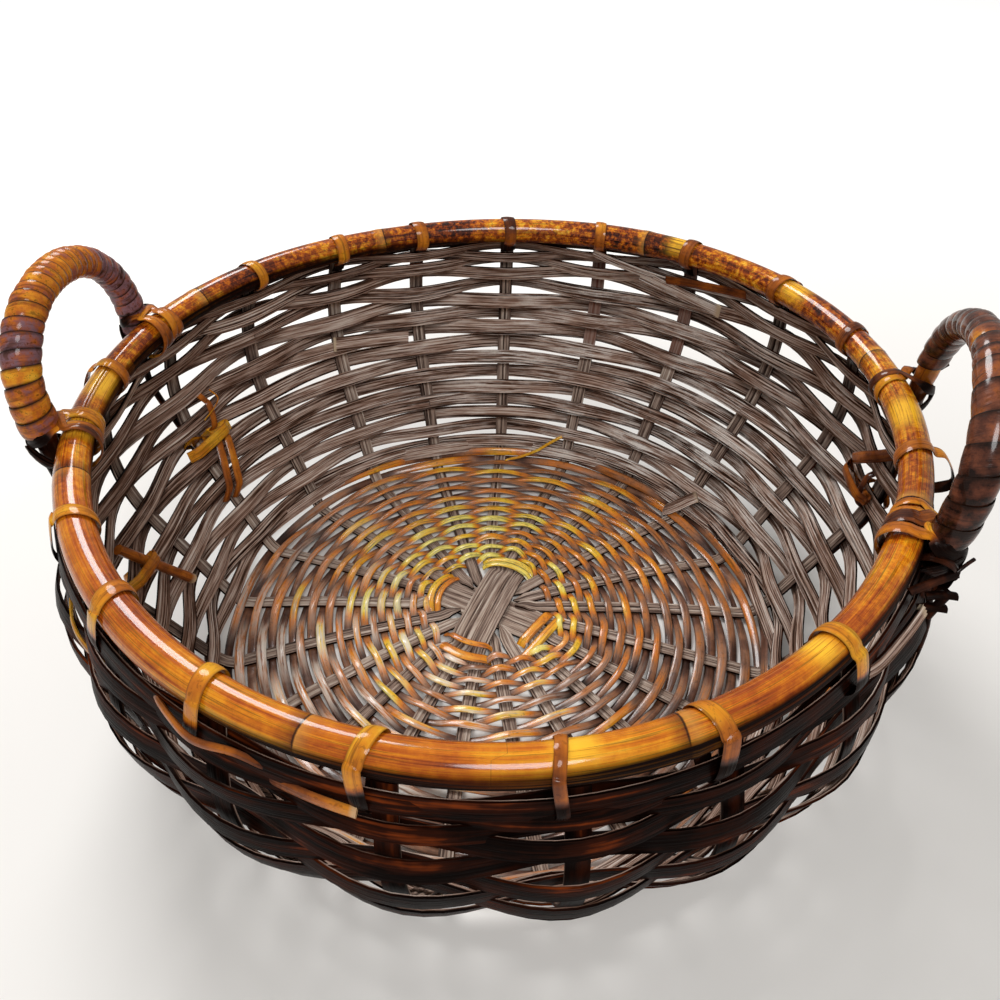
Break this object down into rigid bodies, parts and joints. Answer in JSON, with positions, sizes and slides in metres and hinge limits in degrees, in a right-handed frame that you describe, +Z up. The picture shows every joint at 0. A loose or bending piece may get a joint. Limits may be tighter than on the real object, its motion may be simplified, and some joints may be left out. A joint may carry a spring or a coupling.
{
  "type": "wicker floor basket",
  "caption": "Round open floor basket of split reed woven on radial stakes, with a thick bound cane hoop at the rim and upright loop handles wound with peel.",
  "frame": {"origin": "on the floor, under the middle of the whole basket with its handles", "axes": "+Z up, +X from the left handle to the right one, +Y to the back"},
  "size_m": [0.5628, 0.5464, 0.3007],
  "materials": {
    "varnished_cane": "varnished cane, mottled golden orange to red-brown, glossy",
    "dark_reed": "dark stained split reed, finely grooved, satin",
    "glossy_peel": "narrow cane peel, stained and varnished, glossy",
    "red_peel": "flat cane peel, stained red-brown and varnished"
  },
  "bodies": {
    "root": {"rim_hoop": "varnished_cane", "stake_long_1": "dark_reed", "stake_long_2": "dark_reed", "stake_long_3": "dark_reed", "stake_long_4": "dark_reed", "stake_long_5": "dark_reed", "stake_long_6": "dark_reed", "stake_short_1": "dark_reed", "stake_short_2": "dark_reed", "stake_short_3": "dark_reed", "stake_short_4": "dark_reed", "stake_short_5": "dark_reed", "stake_short_6": "dark_reed", "stake_short_7": "dark_reed", "stake_short_8": "dark_reed", "stake_short_9": "dark_reed", "base_weaver_inner": "glossy_peel", "base_weaver_outer": "glossy_peel", "wall_weaver_1": "dark_reed", "wall_weaver_2": "dark_reed", "wall_weaver_3": "dark_reed", "wall_weaver_4": "dark_reed", "border_weaver": "dark_reed", "rim_binding_01": "varnished_cane", "rim_binding_02": "varnished_cane", "rim_binding_03": "varnished_cane", "rim_binding_04": "varnished_cane", "rim_binding_05": "varnished_cane", "rim_binding_06": "varnished_cane", "rim_binding_07": "varnished_cane", "rim_binding_08": "varnished_cane", "rim_binding_09": "varnished_cane", "rim_binding_10": "varnished_cane", "rim_binding_11": "varnished_cane", "rim_binding_12": "varnished_cane", "rim_binding_13": "varnished_cane", "rim_binding_14": "varnished_cane", "rim_binding_15": "varnished_cane", "rim_binding_16": "varnished_cane", "rim_binding_17": "varnished_cane", "handle_core_left": "varnished_cane", "handle_core_right": "varnished_cane", "handle_wrap_left": "red_peel", "handle_wrap_right": "red_peel", "leg_lashing_left_back": "varnished_cane", "leg_lashing_left_front": "varnished_cane", "leg_lashing_right_back": "varnished_cane", "leg_lashing_right_front": "varnished_cane", "leg_tie_left_back": "red_peel", "leg_tie_left_front": "red_peel", "leg_tie_right_back": "red_peel", "leg_tie_right_front": "red_peel", "tie_bar_left_back": "red_peel", "tie_bar_left_front": "red_peel", "tie_bar_right_back": "red_peel", "tie_bar_right_front": "red_peel"}
  },
  "joints": []
}
